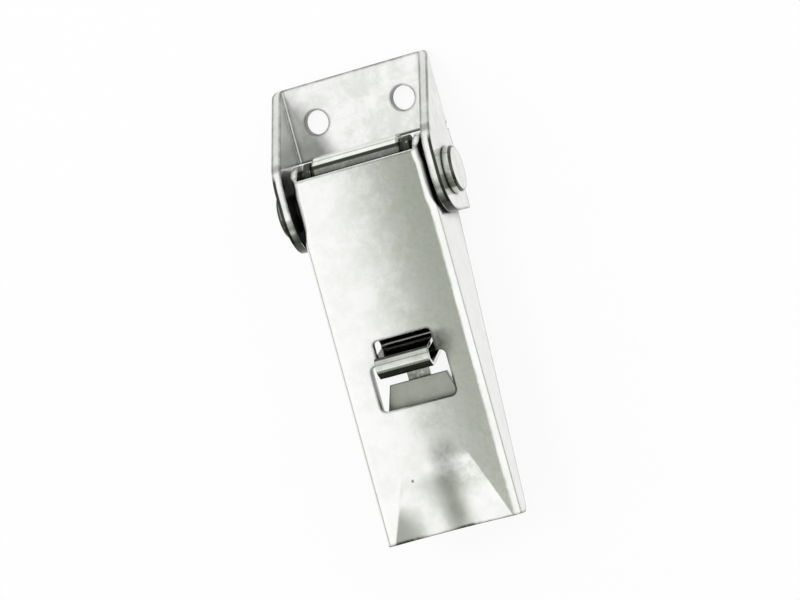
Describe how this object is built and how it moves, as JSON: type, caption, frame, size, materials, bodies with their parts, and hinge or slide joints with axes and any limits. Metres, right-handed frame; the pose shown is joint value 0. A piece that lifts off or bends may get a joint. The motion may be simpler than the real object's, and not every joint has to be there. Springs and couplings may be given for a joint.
{
  "type": "over centre toggle latch",
  "caption": "Pull-down over centre toggle latch of folded sheet steel: U-shaped bracket, channel lever with thumb scoop, hooked claw and sprung safety catch.",
  "frame": {"origin": "middle of the two mounting holes, on the bracket's mounting face", "axes": "+X across the latch, +Y towards the bracket's hole end, +Z off the mounting face towards the lever's top"},
  "size_m": [0.04, 0.1007, 0.0227],
  "materials": {
    "bracket_steel": "polished stainless sheet",
    "lever_steel": "satin stainless sheet",
    "claw_steel": "satin stainless sheet",
    "rivet_steel": "bright turned stainless",
    "spring_steel": "polished spring strip"
  },
  "bodies": {
    "bracket_body": {"bracket": "bracket_steel", "pivot_rivet_left": "rivet_steel", "pivot_rivet_right": "rivet_steel", "pivot_washer_left": "rivet_steel", "pivot_washer_right": "rivet_steel"},
    "lever_body": {"lever": "lever_steel", "claw_pin": "rivet_steel"},
    "claw_body": {"claw": "claw_steel"},
    "catch_body": {"safety_catch": "spring_steel"}
  },
  "joints": [
    {"name": "lever_open", "type": "hinge", "parent": "bracket_body", "child": "lever_body", "pos_m": [0, -0.018, 0.0108], "axis": [-1, 0, 0], "range_deg": [0, 160]},
    {"name": "claw_swing", "type": "hinge", "parent": "lever_body", "child": "claw_body", "pos_m": [0, -0.0111, 0.0126], "axis": [1, 0, 0], "range_deg": [0, 90]},
    {"name": "catch_flex", "type": "hinge", "parent": "lever_body", "child": "catch_body", "pos_m": [0, -0.034, 0.0167], "axis": [1, 0, 0], "range_deg": [0, 6], "stiffness_Nm_per_rad": 0.6}
  ]
}
